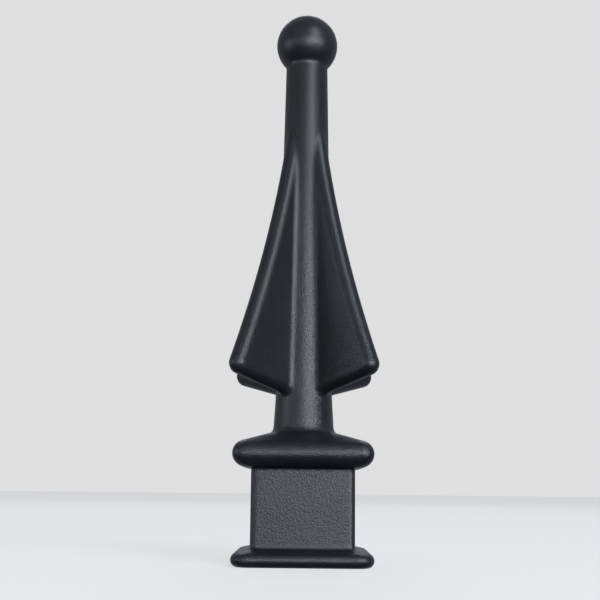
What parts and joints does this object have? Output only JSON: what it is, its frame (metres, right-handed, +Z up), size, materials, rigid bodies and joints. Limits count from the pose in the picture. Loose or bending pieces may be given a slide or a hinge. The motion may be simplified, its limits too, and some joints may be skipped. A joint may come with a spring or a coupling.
{
  "type": "spear point finial",
  "caption": "Black moulded spear point finial with a ball tip, four flared fins, a bead collar and a square socket base for the top of a fence picket.",
  "frame": {"origin": "centre of the underside, at the socket's mouth", "axes": "+Z up along the shaft to the ball, +X and +Y square to the body's faces"},
  "size_m": [0.044, 0.044, 0.1743],
  "materials": {
    "black_plastic": "satin black, moulded, with a fine grain"
  },
  "bodies": {
    "root": {"finial": "black_plastic"}
  },
  "joints": []
}
